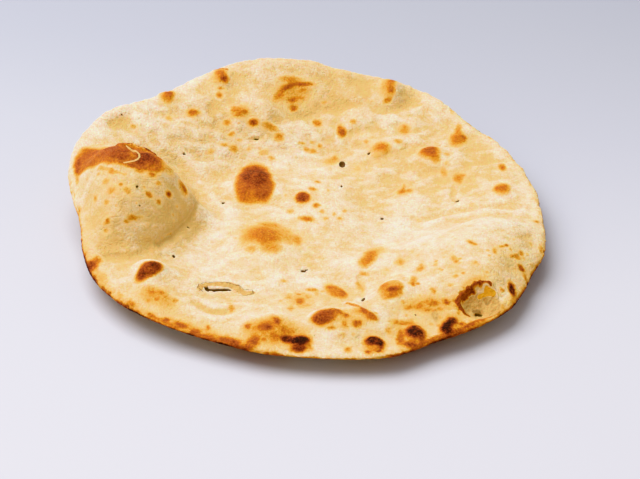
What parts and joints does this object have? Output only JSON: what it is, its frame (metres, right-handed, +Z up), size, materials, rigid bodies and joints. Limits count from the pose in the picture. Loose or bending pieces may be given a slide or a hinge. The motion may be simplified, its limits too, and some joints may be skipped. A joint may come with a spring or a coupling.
{
  "type": "naan bread",
  "caption": "Round leavened flatbread with a curled rim, puffed pockets and scorched blisters, lying flat.",
  "frame": {"origin": "on the surface that the bread rests on, under the middle of its outline's box", "axes": "+Z up through the bread's thin way, +Y towards the back rim that curls up most, +X to the right, with the big pocket at -X"},
  "size_m": [0.2234, 0.21, 0.0428],
  "materials": {
    "crust": "dry matte bread crust, pale cream with browned and scorched blisters"
  },
  "bodies": {
    "root": {"naan": "crust"}
  },
  "joints": []
}
